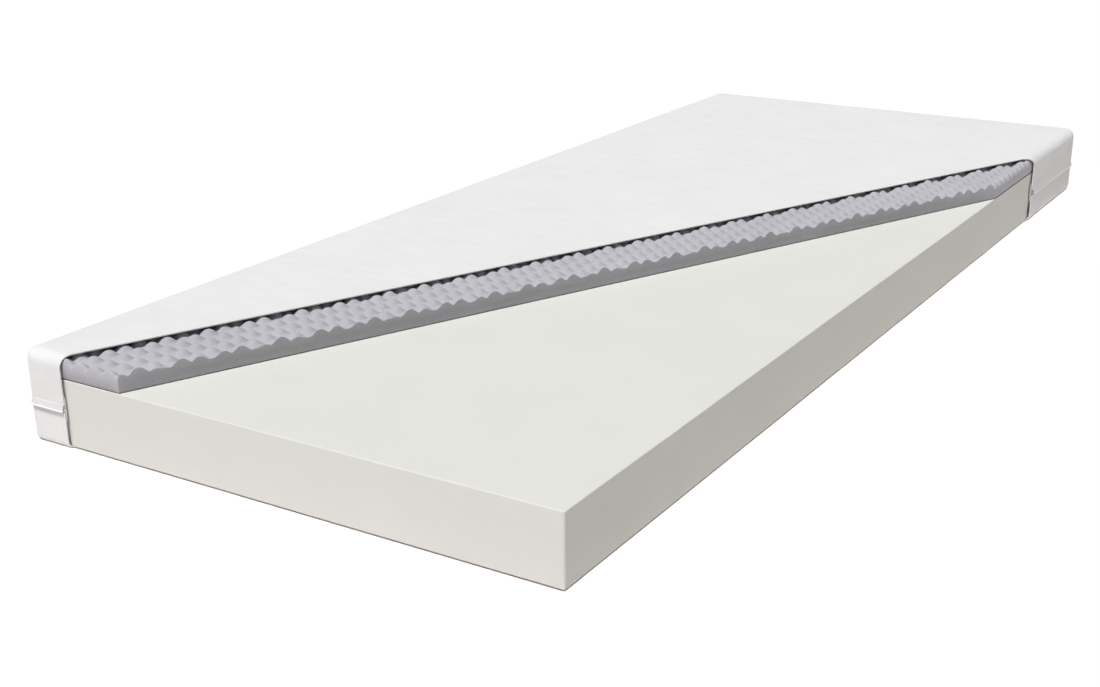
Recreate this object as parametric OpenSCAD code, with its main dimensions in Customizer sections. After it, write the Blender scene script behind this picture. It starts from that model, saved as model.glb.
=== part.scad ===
// Memory foam mattress with its cover and foam layers cut back along two diagonals.
// +Z is up, +Y runs along the length and +X across the width.
// The origin is on the floor, under the middle of the foam.

/* [Foam core] */
// Width of the foam
foam_w = 800; // [640:10:1000]
// Length of the foam
foam_l = 2000; // [1600:10:2400]
// Height of the foam core
core_h = 91; // [70:1:140]
// Corner radius of the foam where the cover pulls it in
foam_corner_r = 13.5; // [11:0.5:42]
// Corner radius of the foam at the bare corner
bare_corner_r = 3; // [2:0.5:6]
// Radius of the core's bottom edge inside the cover
core_edge_r = 9; // [7:1:12]

/* [Memory foam] */
// Thickness of the adhesive film under the memory foam
film_t = 0.3; // [0.2:0.1:0.6]
// Height of the memory foam between its nubs
pad_h = 20.3; // [14:0.1:40]
// Height of a nub above the pad
nub_h = 8.7; // [6:0.1:11]
// Radius of a nub at its foot
nub_r = 12.4; // [9:0.1:12.5]
// Distance between nubs across the width
nub_pitch_w = 25.8; // [25.2:0.1:40]
// Distance between nubs along the length, from a first row on the foot end
nub_pitch_l = 25.15; // [25.05:0.05:40]
// Distance of a lengthwise row of nubs from the middle of the foam
nub_shift = 4.2; // [0:0.1:12]
// Width of the strip inside the cover that has its nubs drawn
nubs_inside = 60; // [50:5:120]

/* [Cover] */
// Thickness of the outer knit
knit_t = 1.6; // [1.2:0.1:2.4]
// Thickness of the lining behind the knit
lining_t = 0.9; // [0.7:0.1:1.4]
// Gap between the foam's sides and the lining
side_gap = 2; // [1.8:0.1:3]
// Gap between the nubs and the lining above them
top_gap = 0.3; // [0.3:0.1:1]
// Radius of the cover's top edge
top_edge_r = 16; // [13:1:22]
// Radius of the cover's bottom edge
bottom_edge_r = 10; // [8:1:12]

/* [Cut-away] */
// Covered length of the foot end, from the covered corner to the cover's cut
cover_cut_end = 67; // [60:1:120]
// Covered length of the bare long side, from the far end to the cover's cut
cover_cut_side = 307; // [260:1:370]
// Length of the foot end with memory foam on it, from the covered corner
pad_cut_end = 162; // [150:1:300]
// Length of the bare long side with memory foam on it, from the far end
pad_cut_side = 527; // [440:1:630]

/* [Zip] */
// Height of the zip's centre line above the floor
zip_z = 55; // [46:1:64]
// Width of each half of the zip tape
tape_w = 15; // [14:0.5:20]
// Thickness of the zip tape
tape_t = 0.5; // [0.4:0.1:0.6]
// Width of a coil
coil_w = 2.1; // [1.6:0.1:2.4]
// Thickness of a coil
coil_t = 1.6; // [1.2:0.1:2]
// Distance between the two coils
coil_slit = 1.4; // [1.4:0.1:2]
// Length of tape with no coil, where the slider is parked
park_l = 28; // [24:1:40]
// Distance of the parked slider from the far end of the foam
park_from_end = 120; // [100:5:200]
// Length of a zip stop
stop_l = 3; // [2:0.5:4]

/* [Zip flap] */
// Thickness of the folded flap
flap_t = 1.8; // [1.2:0.1:2.4]
// Height of the flap's seam above the zip's centre line
flap_up = 10; // [9:0.5:12]
// Drop of the flap below the zip's centre line
flap_down = 5; // [4.8:0.1:9]
// Length of the opening in the flap where the slider is parked
flap_window_l = 72; // [70:1:100]

/* [Slider] */
// Length of the slider
slider_l = 11; // [9:0.5:13]
// Thickness of the slider's plates
plate_t = 1; // [0.8:0.1:1.2]
// Running clearance of the slider on the tape and the coils
slider_gap = 0.35; // [0.3:0.05:0.5]
// Thickness of the slider's side flanges
flange_t = 1; // [0.8:0.1:1.2]
// Height of the flanges on the slider's back plate
back_flange_t = 0.2; // [0.1:0.05:0.3]
// Thickness of the slider's bridge
bridge_t = 0.7; // [0.6:0.1:0.8]
// Radius of the pull tab's pin
pin_r = 0.5; // [0.4:0.05:0.6]
// Radial clearance of the pull tab on its pin
pin_gap = 0.08; // [0.05:0.01:0.1]
// Wall of the pull tab's eye
eye_wall = 0.37; // [0.3:0.01:0.5]
// Thickness of a lug
lug_t = 0.9; // [0.7:0.1:1.2]
// Width of the pull tab
tab_w = 6; // [5:0.5:7]
// Length of the pull tab, from its pin
tab_l = 26; // [20:1:30]
// Thickness of the pull tab
tab_t = 0.9; // [0.7:0.1:1]

/* [Stitching and label] */
// Thickness of the sewing thread where it lies on the cloth
thread_t = 0.3; // [0.2:0.05:0.3]
// Width of the care label
label_w = 38; // [30:1:60]
// Drop of the care label below the lower cover's top edge
label_h = 30; // [20:1:34]
// Thickness of the care label
label_t = 0.3; // [0.2:0.1:0.5]
// Distance of the care label from the foot end
label_from_end = 300; // [200:10:600]

/* [Hidden] */
$fn = 64;
eps = 0.01;
far = 4000;

// Distances outwards from the foam's side face
u_lining = side_gap;
u_knit = u_lining + lining_t;
u_cover = u_knit + knit_t;
u_tape = u_knit - tape_t;
u_coil_top = u_knit + coil_t;
u_back = u_tape - slider_gap - back_flange_t - plate_t;
u_front = u_coil_top + slider_gap;
u_plate_top = u_front + plate_t;
eye_r = pin_r + pin_gap + eye_wall;
u_pin = u_plate_top + 0.2 + eye_r;
u_flap_in = u_pin + eye_r + 0.3;
u_flap = u_flap_in + flap_t;

// Heights above the floor
z_core = knit_t + lining_t;
z_film = z_core + core_h;
z_pad = z_film + film_t;
z_nub = z_pad + pad_h;
z_nub_top = z_nub + nub_h;
z_lining_top = z_nub_top + top_gap + lining_t;
z_top = z_lining_top + knit_t;
tape_gap = bridge_t / 2 + slider_gap;
knit_edge = 6;

// The cover's edges are never rounder than its corners
top_r = min(top_edge_r, foam_corner_r + u_cover - 1);
bottom_r = min(bottom_edge_r, foam_corner_r + u_cover - 1);

// Slider and zip along the covered long side
park_y = foam_l / 2 - park_from_end;
flange_z = coil_slit / 2 + coil_w + slider_gap;
slider_w = 2 * (flange_z + flange_t);
lug_z = slider_w / 2 - lug_t - 1.2;

// Distances between the centres of the corner arcs
arc_w = foam_w - 2 * foam_corner_r;
arc_l = foam_l - 2 * foam_corner_r;

// Foam outline grown by u, with its corner arcs kept concentric
module outline(u) {
    r = foam_corner_r + u;
    square([arc_w, arc_l + 2 * r], center = true);
    square([arc_w + 2 * r, arc_l], center = true);
    for (sx = [-1, 1], sy = [-1, 1])
        translate([sx * arc_w / 2, sy * arc_l / 2]) circle(r);
}

// Foam outline grown by u, with the small radius of the bare corner
module bare_outline(u) {
    outline(u);
    r = bare_corner_r + u;
    c = foam_corner_r - bare_corner_r;
    translate([arc_w / 2, -arc_l / 2]) {
        translate([0, -c - r]) square([c, c + r]);
        translate([0, -c]) square([c + r, c]);
        translate([c, -c]) circle(r);
    }
}

// Band round the outline between u0 and u1, from z0 to z1
module band(u0, u1, z0, z1) {
    translate([0, 0, z0]) linear_extrude(z1 - z0) difference() {
        outline(u1);
        outline(u0);
    }
}

// Sweeps a section round the outline: its x is the distance from the arcs' centres, its y is z
module round_the_outline() {
    for (k = [0:3]) {
        sx = k == 0 || k == 3 ? 1 : -1;
        sy = k < 2 ? 1 : -1;
        translate([sx * arc_w / 2, sy * arc_l / 2, 0]) rotate(90 * k) {
            rotate_extrude(angle = 90) children();
            rotate([90, 0, 0]) linear_extrude(k % 2 == 0 ? arc_l : arc_w) children();
        }
    }
}

// Half section of a block with a rounded bottom edge, out to u
module rounded_section(u, z0, z1, r) {
    edge = foam_corner_r + u;
    difference() {
        translate([0, z0]) square([edge, z1 - z0]);
        translate([edge - r, z0 + r]) difference() {
            translate([0, -r - 1]) square([r + 1, r + 1]);
            circle(r);
        }
    }
}

// Block with a rounded bottom edge, out to u
module rounded_block(u, z0, z1, r) {
    round_the_outline() rounded_section(u, z0, z1, r);
    translate([-arc_w / 2, -arc_l / 2, z0]) cube([arc_w, arc_l, z1 - z0]);
}

// Open tray: floor and wall of thickness t, with a rounded bottom edge
module tray(u, z0, z1, t, r) {
    round_the_outline() difference() {
        rounded_section(u, z0, z1, r);
        rounded_section(u - t, z0 + t, z1 + 1, r - t);
    }
    translate([-arc_w / 2, -arc_l / 2, z0]) cube([arc_w, arc_l, t]);
}

// Direction of the cut from the foot end at e to the long side at s
function cut_angle(e, s) = atan2(foam_l - s, foam_w - e);

// Distance of a point from that cut, positive on the bare side
function past_cut(x, y, e, s) = (x + foam_w / 2 - e) * sin(cut_angle(e, s))
    - (y + foam_l / 2) * cos(cut_angle(e, s));

// Everything on the bare side of that cut, and a strip of width back behind it
module bare_side(e, s, back = 0) {
    translate([e - foam_w / 2, -foam_l / 2, -1]) rotate(cut_angle(e, s))
        translate([-far / 2, -far, 0]) cube([2 * far, far + back, z_top + 2]);
}

// The cover's pieces end at its cut
module covered() {
    difference() {
        children();
        bare_side(cover_cut_end, cover_cut_side);
    }
}

// Heights measured up from the floor for the lower half, down from the top for the upper half
module upside_down() {
    translate([0, 0, z_top]) mirror([0, 0, 1]) children();
}

// Box across the covered long side, of length l, centred at y
module at_long_side(y, l) {
    translate([-foam_w / 2 - u_flap - 1, y - l / 2, -1]) cube([foam_corner_r + u_flap, l, z_top + 2]);
}

// The foot run of a band, from the parked slider back to the foot end, or else its head run
module run_of(foot) {
    if (foot)
        intersection() {
            children();
            foot_side();
        }
    else
        difference() {
            children();
            foot_side();
        }
}

module foot_side() {
    translate([-far, park_y - far, -1]) cube([far, far, z_top + 2]);
}

module foam_core() {
    color("#e9e6dd") union() {
        rounded_block(0, z_core, z_film, core_edge_r);
        intersection() {
            translate([0, 0, z_core]) linear_extrude(core_h) bare_outline(0);
            bare_side(cover_cut_end, cover_cut_side);
        }
    }
}

module adhesive_film() {
    color("#b9b5a6") difference() {
        translate([0, 0, z_film]) linear_extrude(film_t) outline(-1);
        bare_side(pad_cut_end - 2, pad_cut_side - 4);
    }
}

// True for the nubs of the bare strip and of the first rows inside the cover
function nub_stands(x, y) = past_cut(x, y, pad_cut_end, pad_cut_side) < nub_r
    && past_cut(x, y, cover_cut_end, cover_cut_side) > nub_r - nubs_inside;

// True where the cover's rounded edge leaves room for a nub
function nub_fits(x, y) = min(foam_w / 2 - abs(x), foam_l / 2 - abs(y)) > top_edge_r + nub_r / 2
    || past_cut(x, y, cover_cut_end, cover_cut_side) > nub_r;

module nub() {
    // The nub is the cap of a ball
    ball_r = (nub_r * nub_r + nub_h * nub_h) / (2 * nub_h);
    rotate_extrude() intersection() {
        translate([0, nub_h - ball_r]) circle(ball_r);
        translate([0, -1]) square([nub_r, nub_h + 2]);
    }
}

// Further inside the cover the layer is drawn flat, level with the tops of its nubs
module covered_pad() {
    difference() {
        translate([0, 0, z_nub]) linear_extrude(nub_h)
            square([foam_w - 2 * top_edge_r - 4, foam_l - 2 * top_edge_r - 4], center = true);
        bare_side(cover_cut_end, cover_cut_side, nubs_inside);
    }
}

module memory_foam_layer() {
    columns = floor((foam_w / 2 - nub_shift) / nub_pitch_w);
    rows = floor(foam_l / nub_pitch_l);
    color("#a9a8ae") difference() {
        union() {
            translate([0, 0, z_pad]) linear_extrude(pad_h) outline(0);
            covered_pad();
            for (i = [-columns:columns], j = [0:rows]) {
                x = nub_shift + i * nub_pitch_w;
                y = j * nub_pitch_l - foam_l / 2;
                if (nub_stands(x, y) && nub_fits(x, y)) translate([x, y, z_nub]) nub();
            }
        }
        bare_side(pad_cut_end, pad_cut_side);
        // Nubs end flush with the bare side and the foot end
        translate([foam_w / 2, -foam_l, 0]) cube([2 * nub_r, 2 * foam_l, z_top]);
        translate([-foam_w, -foam_l / 2 - 2 * nub_r, 0]) cube([2 * foam_w, 2 * nub_r, z_top]);
    }
}

module cover_lower_knit() {
    color("#f2f2f0") covered() tray(u_cover, 0, zip_z - knit_edge, knit_t, bottom_r);
}

module cover_lower_lining() {
    color("#e8e8e6") covered()
        tray(u_knit, knit_t, zip_z - tape_gap - tape_w - thread_t, lining_t, bottom_r - knit_t);
}

module cover_upper_knit() {
    color("#f5f5f3") covered() upside_down()
        tray(u_cover, 0, z_top - zip_z - flap_up, knit_t, top_r);
}

module cover_upper_lining() {
    color("#e8e8e6") covered() upside_down()
        tray(u_knit, knit_t, z_top - zip_z - tape_gap - tape_w - thread_t, lining_t,
            top_r - knit_t);
}

// Tape half, side -1 below the zip's centre line and 1 above it
module tape(side) {
    z0 = side > 0 ? zip_z + tape_gap : zip_z - tape_gap - tape_w;
    color("#efefed") covered() band(u_tape, u_knit, z0, z0 + tape_w);
}

// Coil half on one side of the parking gap, a plain rail in place of its turns
module coil(side, foot) {
    z0 = side > 0 ? zip_z + coil_slit / 2 : zip_z - coil_slit / 2 - coil_w;
    color("#dededc") covered() run_of(foot) difference() {
        band(u_knit, u_coil_top, z0, z0 + coil_w);
        at_long_side(park_y, park_l);
    }
}

module stop(side) {
    z0 = side > 0 ? zip_z + coil_slit / 2 : zip_z - coil_slit / 2 - coil_w;
    color("#c8c8c8")
        translate([-foam_w / 2 - u_coil_top, park_y + park_l / 2 - stop_l - 0.3, z0])
            cube([coil_t, stop_l, coil_w]);
}

// Seam thread on the inner face of a tape
module seam_thread(side) {
    z = zip_z + side * (tape_gap + tape_w - 3);
    color("#f4f4f2") covered()
        band(u_tape - thread_t, u_tape, z - thread_t / 2, z + thread_t / 2);
}

module care_label() {
    top = zip_z - knit_edge - 0.5;
    color("#f7f7f7")
        translate([-foam_w / 2 - u_cover - label_t, label_from_end - foam_l / 2, top - label_h])
            cube([label_t, label_w, label_h]);
}

// Section of the flap: it leaves the knit, flares over the zip and ends in a folded hem
module flap_section() {
    r = foam_corner_r;
    hem = zip_z - flap_down + flap_t / 2;
    inner = zip_z + slider_w / 2 + 0.4;
    polygon([[r + u_knit, zip_z + flap_up], [r + u_knit, zip_z + flap_up - 1],
        [r + u_plate_top + 0.4, inner], [r + u_flap_in, inner - 1], [r + u_flap_in, hem],
        [r + u_flap, hem], [r + u_flap, inner + 0.2], [r + u_flap - 1, inner + 1.4],
        [r + u_cover + 1, zip_z + flap_up - 1.8], [r + u_cover, zip_z + flap_up]]);
    translate([r + u_flap_in + flap_t / 2, hem]) circle(flap_t / 2, $fn = 24);
}

module zip_flap(foot) {
    color("#fafaf8") covered() run_of(foot) difference() {
        round_the_outline() flap_section();
        at_long_side(park_y, flap_window_l);
    }
}

// Thread of the flap's hem, on its inner face below the slider's path
module hem_thread(foot) {
    z = zip_z - slider_w / 2 - thread_t / 2;
    color("#f4f4f2") covered() run_of(foot) difference() {
        band(u_flap_in - thread_t, u_flap_in, z - thread_t / 2, z + thread_t / 2);
        at_long_side(park_y, flap_window_l);
    }
}

// Slider pieces are drawn with x outwards from the foam, y along the zip and z up
module on_zip() {
    translate([-foam_w / 2, park_y, zip_z]) mirror([1, 0, 0]) children();
}

module slider_plate(u) {
    translate([u, 0, 0]) rotate([0, 90, 0]) linear_extrude(plate_t) {
        square([slider_w, slider_l - 4], center = true);
        square([slider_w - 4, slider_l], center = true);
        for (sx = [-1, 1], sy = [-1, 1])
            translate([sx * (slider_w / 2 - 2), sy * (slider_l / 2 - 2)]) circle(2);
    }
}

module slider_body() {
    color("#b9bbbd") on_zip() difference() {
        union() {
            slider_plate(u_back);
            slider_plate(u_front);
            // Bridge between the plates, ahead of the coils' meeting point
            translate([u_back + plate_t - eps, slider_l / 2 - 3.5, -bridge_t / 2])
                cube([u_front - u_back - plate_t + 2 * eps, 2, bridge_t]);
            for (s = [-1, 1]) {
                // Side flanges, either side of the slot for the tape
                z0 = s > 0 ? flange_z : -flange_z - flange_t;
                translate([u_knit + slider_gap, 2 - slider_l / 2, z0])
                    cube([u_front - u_knit - slider_gap + eps, slider_l - 4, flange_t]);
                translate([u_back + plate_t - eps, 2 - slider_l / 2, z0])
                    cube([back_flange_t + eps, slider_l - 4, flange_t]);
                // Lugs for the pull tab's pin
                l0 = s > 0 ? lug_z : -lug_z - lug_t;
                translate([0, 0, l0]) linear_extrude(lug_t) {
                    translate([u_pin, 0]) circle(eye_r);
                    translate([u_plate_top - eps, -eye_r])
                        square([u_pin - u_plate_top + eps, 2 * eye_r]);
                }
            }
        }
        translate([u_pin, 0, -slider_w]) cylinder(h = 2 * slider_w, r = pin_r);
    }
}

module slider_pin() {
    color("#c9cbcd") on_zip() translate([u_pin, 0, -lug_z - lug_t])
        cylinder(h = 2 * (lug_z + lug_t), r = pin_r);
}

module pull_tab() {
    eye_w = 2 * (lug_z - 0.15);
    neck = eye_r + 1.6;
    color("#c2c4c6") on_zip() translate([u_pin, 0, 0]) difference() {
        union() {
            translate([0, 0, -eye_w / 2]) cylinder(h = eye_w, r = eye_r);
            translate([-tab_t / 2, 0, -eye_w / 2]) cube([tab_t, neck, eye_w]);
            translate([-tab_t / 2, 0, 0]) rotate([0, 90, 0]) linear_extrude(tab_t) difference() {
                union() {
                    translate([-tab_w / 2, neck - 0.4]) square([tab_w, tab_l - neck + 0.4 - tab_w / 2]);
                    translate([0, tab_l - tab_w / 2]) circle(tab_w / 2);
                }
                translate([0, tab_l - tab_w / 2]) circle(tab_w / 4);
            }
        }
        translate([0, 0, -eye_w]) cylinder(h = 2 * eye_w, r = pin_r + pin_gap);
    }
}

foam_core();
adhesive_film();
memory_foam_layer();
cover_lower_knit();
cover_lower_lining();
tape(-1);  // zip_tape_lower
coil(-1, true);  // zip_coil_lower_foot
coil(-1, false);  // zip_coil_lower_head
stop(-1);  // zip_stop_lower
seam_thread(-1);  // seam_thread_lower
care_label();
cover_upper_knit();
cover_upper_lining();
zip_flap(true);  // zip_flap_foot
zip_flap(false);  // zip_flap_head
tape(1);  // zip_tape_upper
coil(1, true);  // zip_coil_upper_foot
coil(1, false);  // zip_coil_upper_head
stop(1);  // zip_stop_upper
seam_thread(1);  // seam_thread_upper
hem_thread(true);  // flap_hem_thread_foot
hem_thread(false);  // flap_hem_thread_head
slider_body();
slider_pin();
pull_tab();
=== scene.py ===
"""Builds the looks of a cut-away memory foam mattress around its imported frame."""

import logging
import math
from collections.abc import Iterable, Sequence
from dataclasses import dataclass
from enum import Enum

import bmesh
import bpy
from mathutils import Matrix, Vector, noise


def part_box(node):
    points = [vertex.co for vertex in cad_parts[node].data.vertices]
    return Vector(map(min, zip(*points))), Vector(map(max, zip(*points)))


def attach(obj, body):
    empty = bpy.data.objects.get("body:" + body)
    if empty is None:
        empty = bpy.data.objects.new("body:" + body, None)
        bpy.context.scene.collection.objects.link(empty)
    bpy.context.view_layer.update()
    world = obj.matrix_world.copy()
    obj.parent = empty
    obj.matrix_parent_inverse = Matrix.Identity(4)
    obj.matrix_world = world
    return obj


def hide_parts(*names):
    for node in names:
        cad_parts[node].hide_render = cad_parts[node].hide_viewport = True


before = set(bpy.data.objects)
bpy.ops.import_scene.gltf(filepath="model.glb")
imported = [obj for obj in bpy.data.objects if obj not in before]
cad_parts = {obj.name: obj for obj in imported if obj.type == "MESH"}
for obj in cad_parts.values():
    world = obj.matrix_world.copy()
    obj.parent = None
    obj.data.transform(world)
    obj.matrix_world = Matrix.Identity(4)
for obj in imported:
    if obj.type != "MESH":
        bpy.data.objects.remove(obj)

LOG = logging.getLogger("mattress")
MM = 0.001

# Lengths under which two heights, or two points, count as the same
TINY = 1e-7
NEAR = 1e-6

# Scale of a Wave texture, times a length, at which a ridge is as wide as that length
RIDGE = math.pi / 20

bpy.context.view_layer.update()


class Side(Enum):
    """Which half of the zipped cover a piece belongs to."""

    LOWER = -1
    UPPER = 1


class Run(Enum):
    """Which run of the zip a piece lies on, either side of the parked slider."""

    FOOT = "foot"
    HEAD = "head"


# ---------------------------------------------------------------- shader maths


class Value:
    """A shader socket that can be used in Python expressions."""

    def __init__(self, graph: "Graph", socket: bpy.types.NodeSocket) -> None:
        """Wraps a socket.

        Args:
            graph: The graph that the socket's node is in.
            socket: The output socket to wrap.
        """
        self.graph = graph
        self.socket = socket

    def _with(self, operation: str, first: object, second: object) -> "Value":
        """Adds a Math node for one operator."""
        return self.graph.node("ShaderNodeMath", {"operation": operation}, {0: first, 1: second})

    def __add__(self, other: object) -> "Value":
        """Value plus other."""
        return self._with("ADD", self, other)

    def __radd__(self, other: object) -> "Value":
        """Other plus value."""
        return self._with("ADD", other, self)

    def __mul__(self, other: object) -> "Value":
        """Value times other."""
        return self._with("MULTIPLY", self, other)

    def __rmul__(self, other: object) -> "Value":
        """Other times value."""
        return self._with("MULTIPLY", other, self)


class Graph:
    """The node tree of one material, with a Principled shader at its end."""

    def __init__(self, name: str) -> None:
        """Makes a material and its output.

        Args:
            name: The material's name.
        """
        self.material = bpy.data.materials.new(name)
        self.material.use_nodes = True
        self.tree = self.material.node_tree
        self.tree.nodes.clear()
        self.shader = self.tree.nodes.new("ShaderNodeBsdfPrincipled")
        out = self.tree.nodes.new("ShaderNodeOutputMaterial")
        self.tree.links.new(self.shader.outputs[0], out.inputs["Surface"])

    def node(
        self,
        kind: str,
        settings: dict[str, object] | None = None,
        inputs: dict[object, object] | None = None,
        out: object = 0,
    ) -> Value:
        """Adds any node.

        Args:
            kind: The node's type name.
            settings: The node's own settings, which are set first.
            inputs: Values or links, by the socket's name or number.
            out: The output to return, by name or number.

        Returns:
            The chosen output as a Value.
        """
        made = self.tree.nodes.new(kind)
        for key, value in (settings or {}).items():
            if key == "stops":
                ramp = made.color_ramp
                for place, (at, tone) in enumerate(value):
                    stop = ramp.elements[place] if place < 2 else ramp.elements.new(at)
                    stop.position, stop.color = at, (tone, tone, tone, 1)
            else:
                setattr(made, key, value)
        for key, value in (inputs or {}).items():
            self.feed(made.inputs[key], value)
        return Value(self, made.outputs[out])

    def feed(self, socket: bpy.types.NodeSocket, value: object) -> None:
        """Links a Value to a socket, or sets the socket's own value.

        Args:
            socket: The input socket.
            value: A Value, a number or a colour. A number fills every channel.
        """
        if isinstance(value, Value):
            self.tree.links.new(value.socket, socket)
        elif hasattr(socket.default_value, "__len__") and not hasattr(value, "__len__"):
            socket.default_value = [value] * len(socket.default_value)
        elif hasattr(value, "__len__") and len(value) == 3 and len(socket.default_value) == 4:
            socket.default_value = (*value, 1)
        else:
            socket.default_value = value

    def surface(self, **sockets: object) -> None:
        """Feeds the Principled shader, by socket name with _ for each space."""
        for key, value in sockets.items():
            self.feed(self.shader.inputs[key.replace("_", " ")], value)

    def place(self, uv: str | None = None) -> Value:
        """Adds coordinates in metres.

        Args:
            uv: The name of the piece's own UV map, or None for Object coordinates.

        Returns:
            The coordinates.
        """
        if uv:
            return self.node("ShaderNodeUVMap", {"uv_map": uv})
        return self.node("ShaderNodeTexCoord", out="Object")

    def scaled(self, place: Value, scale: Sequence[float]) -> Value:
        """Coordinates stretched by a Mapping node."""
        return self.node("ShaderNodeMapping", None, {"Vector": place, "Scale": tuple(scale)})

    def speckle(self, place: Value, scale: float, detail: float) -> Value:
        """Noise from 0 to 1."""
        inputs = {"Vector": place, "Scale": scale, "Detail": detail}
        return self.node("ShaderNodeTexNoise", None, inputs, "Fac")

    def blend(self, factor: object, first: Sequence[float], second: Sequence[float]) -> Value:
        """Mixes two colours.

        Args:
            factor: 0 for the first, 1 for the second.
            first: The first colour.
            second: The second colour.

        Returns:
            The mixed colour.
        """
        inputs = {0: factor, 6: (*first, 1), 7: (*second, 1)}
        return self.node("ShaderNodeMix", {"data_type": "RGBA"}, inputs, 2)

    def bump(self, height: Value, depth: float, strength: float) -> Value:
        """A Bump node that feeds the shader's Normal."""
        inputs = {"Height": height, "Distance": depth, "Strength": strength}
        return self.node("ShaderNodeBump", None, inputs, "Normal")


def linear(red: int, green: int, blue: int) -> tuple[float, float, float]:
    """A display colour, 0 to 255 in each channel, as linear light."""
    return tuple(
        c / 255 / 12.92 if c <= 10 else ((c / 255 + 0.055) / 1.055) ** 2.4
        for c in (red, green, blue)
    )


# ------------------------------------------------------------------- finishes

CLOTH_UV = "cloth"

# Bend in degrees past which an edge of cloth is shaded sharp
CLOTH_CREASE = 50


@dataclass(frozen=True)
class KnitFinish:
    """Fine white jersey: columns of stitches, crossed by faint courses, and a mottled tone."""

    name: str
    tone: tuple[float, float, float]
    stitch: float = 1.5 * MM
    relief: float = 0.14 * MM
    streak: float = 0.06
    course_ratio: float = 1.3
    fuzz_scale: float = 900.0
    cloud_scale: float = 7.0
    streak_scale: tuple[float, float, float] = (22.0, 48.0, 1.0)

    def build(self) -> bpy.types.Material:
        """Makes the material."""
        g = Graph(self.name)
        uv = g.place(CLOTH_UV)
        columns, courses = RIDGE / self.stitch, RIDGE / (self.stitch * self.course_ratio)
        wale = g.node("ShaderNodeTexWave", {"bands_direction": "X", "wave_profile": "SIN"},
                      {"Vector": uv, "Scale": columns, "Distortion": 0.4,
                       "Detail": 1.0, "Detail Scale": 2.0}, "Fac")
        course = g.node("ShaderNodeTexWave", {"bands_direction": "Y", "wave_profile": "SIN"},
                        {"Vector": uv, "Scale": courses, "Distortion": 0.6}, "Fac")
        fuzz = g.speckle(uv, self.fuzz_scale, 1.0)
        streaks = g.speckle(g.scaled(uv, self.streak_scale), 1.0, 4.0)
        clouds = g.speckle(uv, self.cloud_scale, 2.0)
        shade = streaks * 0.55 + clouds * 0.45
        dark = tuple(c * (1 - self.streak * 2) for c in self.tone)
        light = tuple(min(1.0, c * (1 + self.streak)) for c in self.tone)
        g.surface(
            Base_Color=g.blend(shade, dark, light),
            Roughness=0.86 + fuzz * 0.1,
            Specular_IOR_Level=0.25,
            Sheen_Weight=0.12,
            Sheen_Roughness=0.5,
            Normal=g.bump(wale * 0.5 + course * 0.3 + fuzz * 0.2, self.relief, 0.7),
        )
        return g.material


@dataclass(frozen=True)
class FleeceFinish:
    """Brushed back of the cover: short nap with no clear rows."""

    name: str
    tone: tuple[float, float, float]
    nap_scale: float = 1400.0
    tuft_scale: float = 160.0
    relief: float = 0.3 * MM

    def build(self) -> bpy.types.Material:
        """Makes the material."""
        g = Graph(self.name)
        place = g.place()
        nap = g.speckle(place, self.nap_scale, 3.0)
        tufts = g.speckle(place, self.tuft_scale, 2.0)
        dark = tuple(c * 0.88 for c in self.tone)
        g.surface(
            Base_Color=g.blend(tufts * 0.6 + nap * 0.4, dark, self.tone),
            Roughness=0.95,
            Specular_IOR_Level=0.1,
            Sheen_Weight=0.3,
            Normal=g.bump(nap * 0.6 + tufts * 0.4, self.relief, 0.8),
        )
        return g.material


@dataclass(frozen=True)
class FoamFinish:
    """Open-cell foam: pin-prick cells, a few larger pores and a cloudy tone."""

    name: str
    tone: tuple[float, float, float]
    cell: float = 1.1 * MM
    relief: float = 0.22 * MM
    cloud: float = 0.05
    pore_ratio: float = 7.0
    cloud_scale: float = 9.0
    grain_scale: float = 420.0

    def build(self) -> bpy.types.Material:
        """Makes the material."""
        g = Graph(self.name)
        place = g.place()
        cells = g.node("ShaderNodeTexVoronoi", {"feature": "F1"},
                       {"Vector": place, "Scale": 1 / self.cell, "Randomness": 1.0}, "Distance")
        pores = g.node("ShaderNodeTexVoronoi", {"feature": "F1"},
                       {"Vector": place, "Scale": 1 / (self.cell * self.pore_ratio),
                        "Randomness": 1.0}, "Distance")
        pits = g.node("ShaderNodeValToRGB", {"stops": [(0.05, 0.0), (0.16, 1.0)]}, {0: pores})
        clouds = g.speckle(place, self.cloud_scale, 3.0)
        grain = g.speckle(place, self.grain_scale, 2.0)
        shade = clouds * 0.5 + grain * 0.3 + cells * 0.2
        dark = tuple(c * (1 - self.cloud * 2) for c in self.tone)
        light = tuple(min(1.0, c * (1 + self.cloud)) for c in self.tone)
        g.surface(
            Base_Color=g.blend(shade, dark, light),
            Roughness=0.9 + grain * 0.08,
            Specular_IOR_Level=0.15,
            Sheen_Weight=0.08,
            Normal=g.bump(cells * 0.5 + pits * 0.5, self.relief, 0.6),
        )
        return g.material


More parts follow.
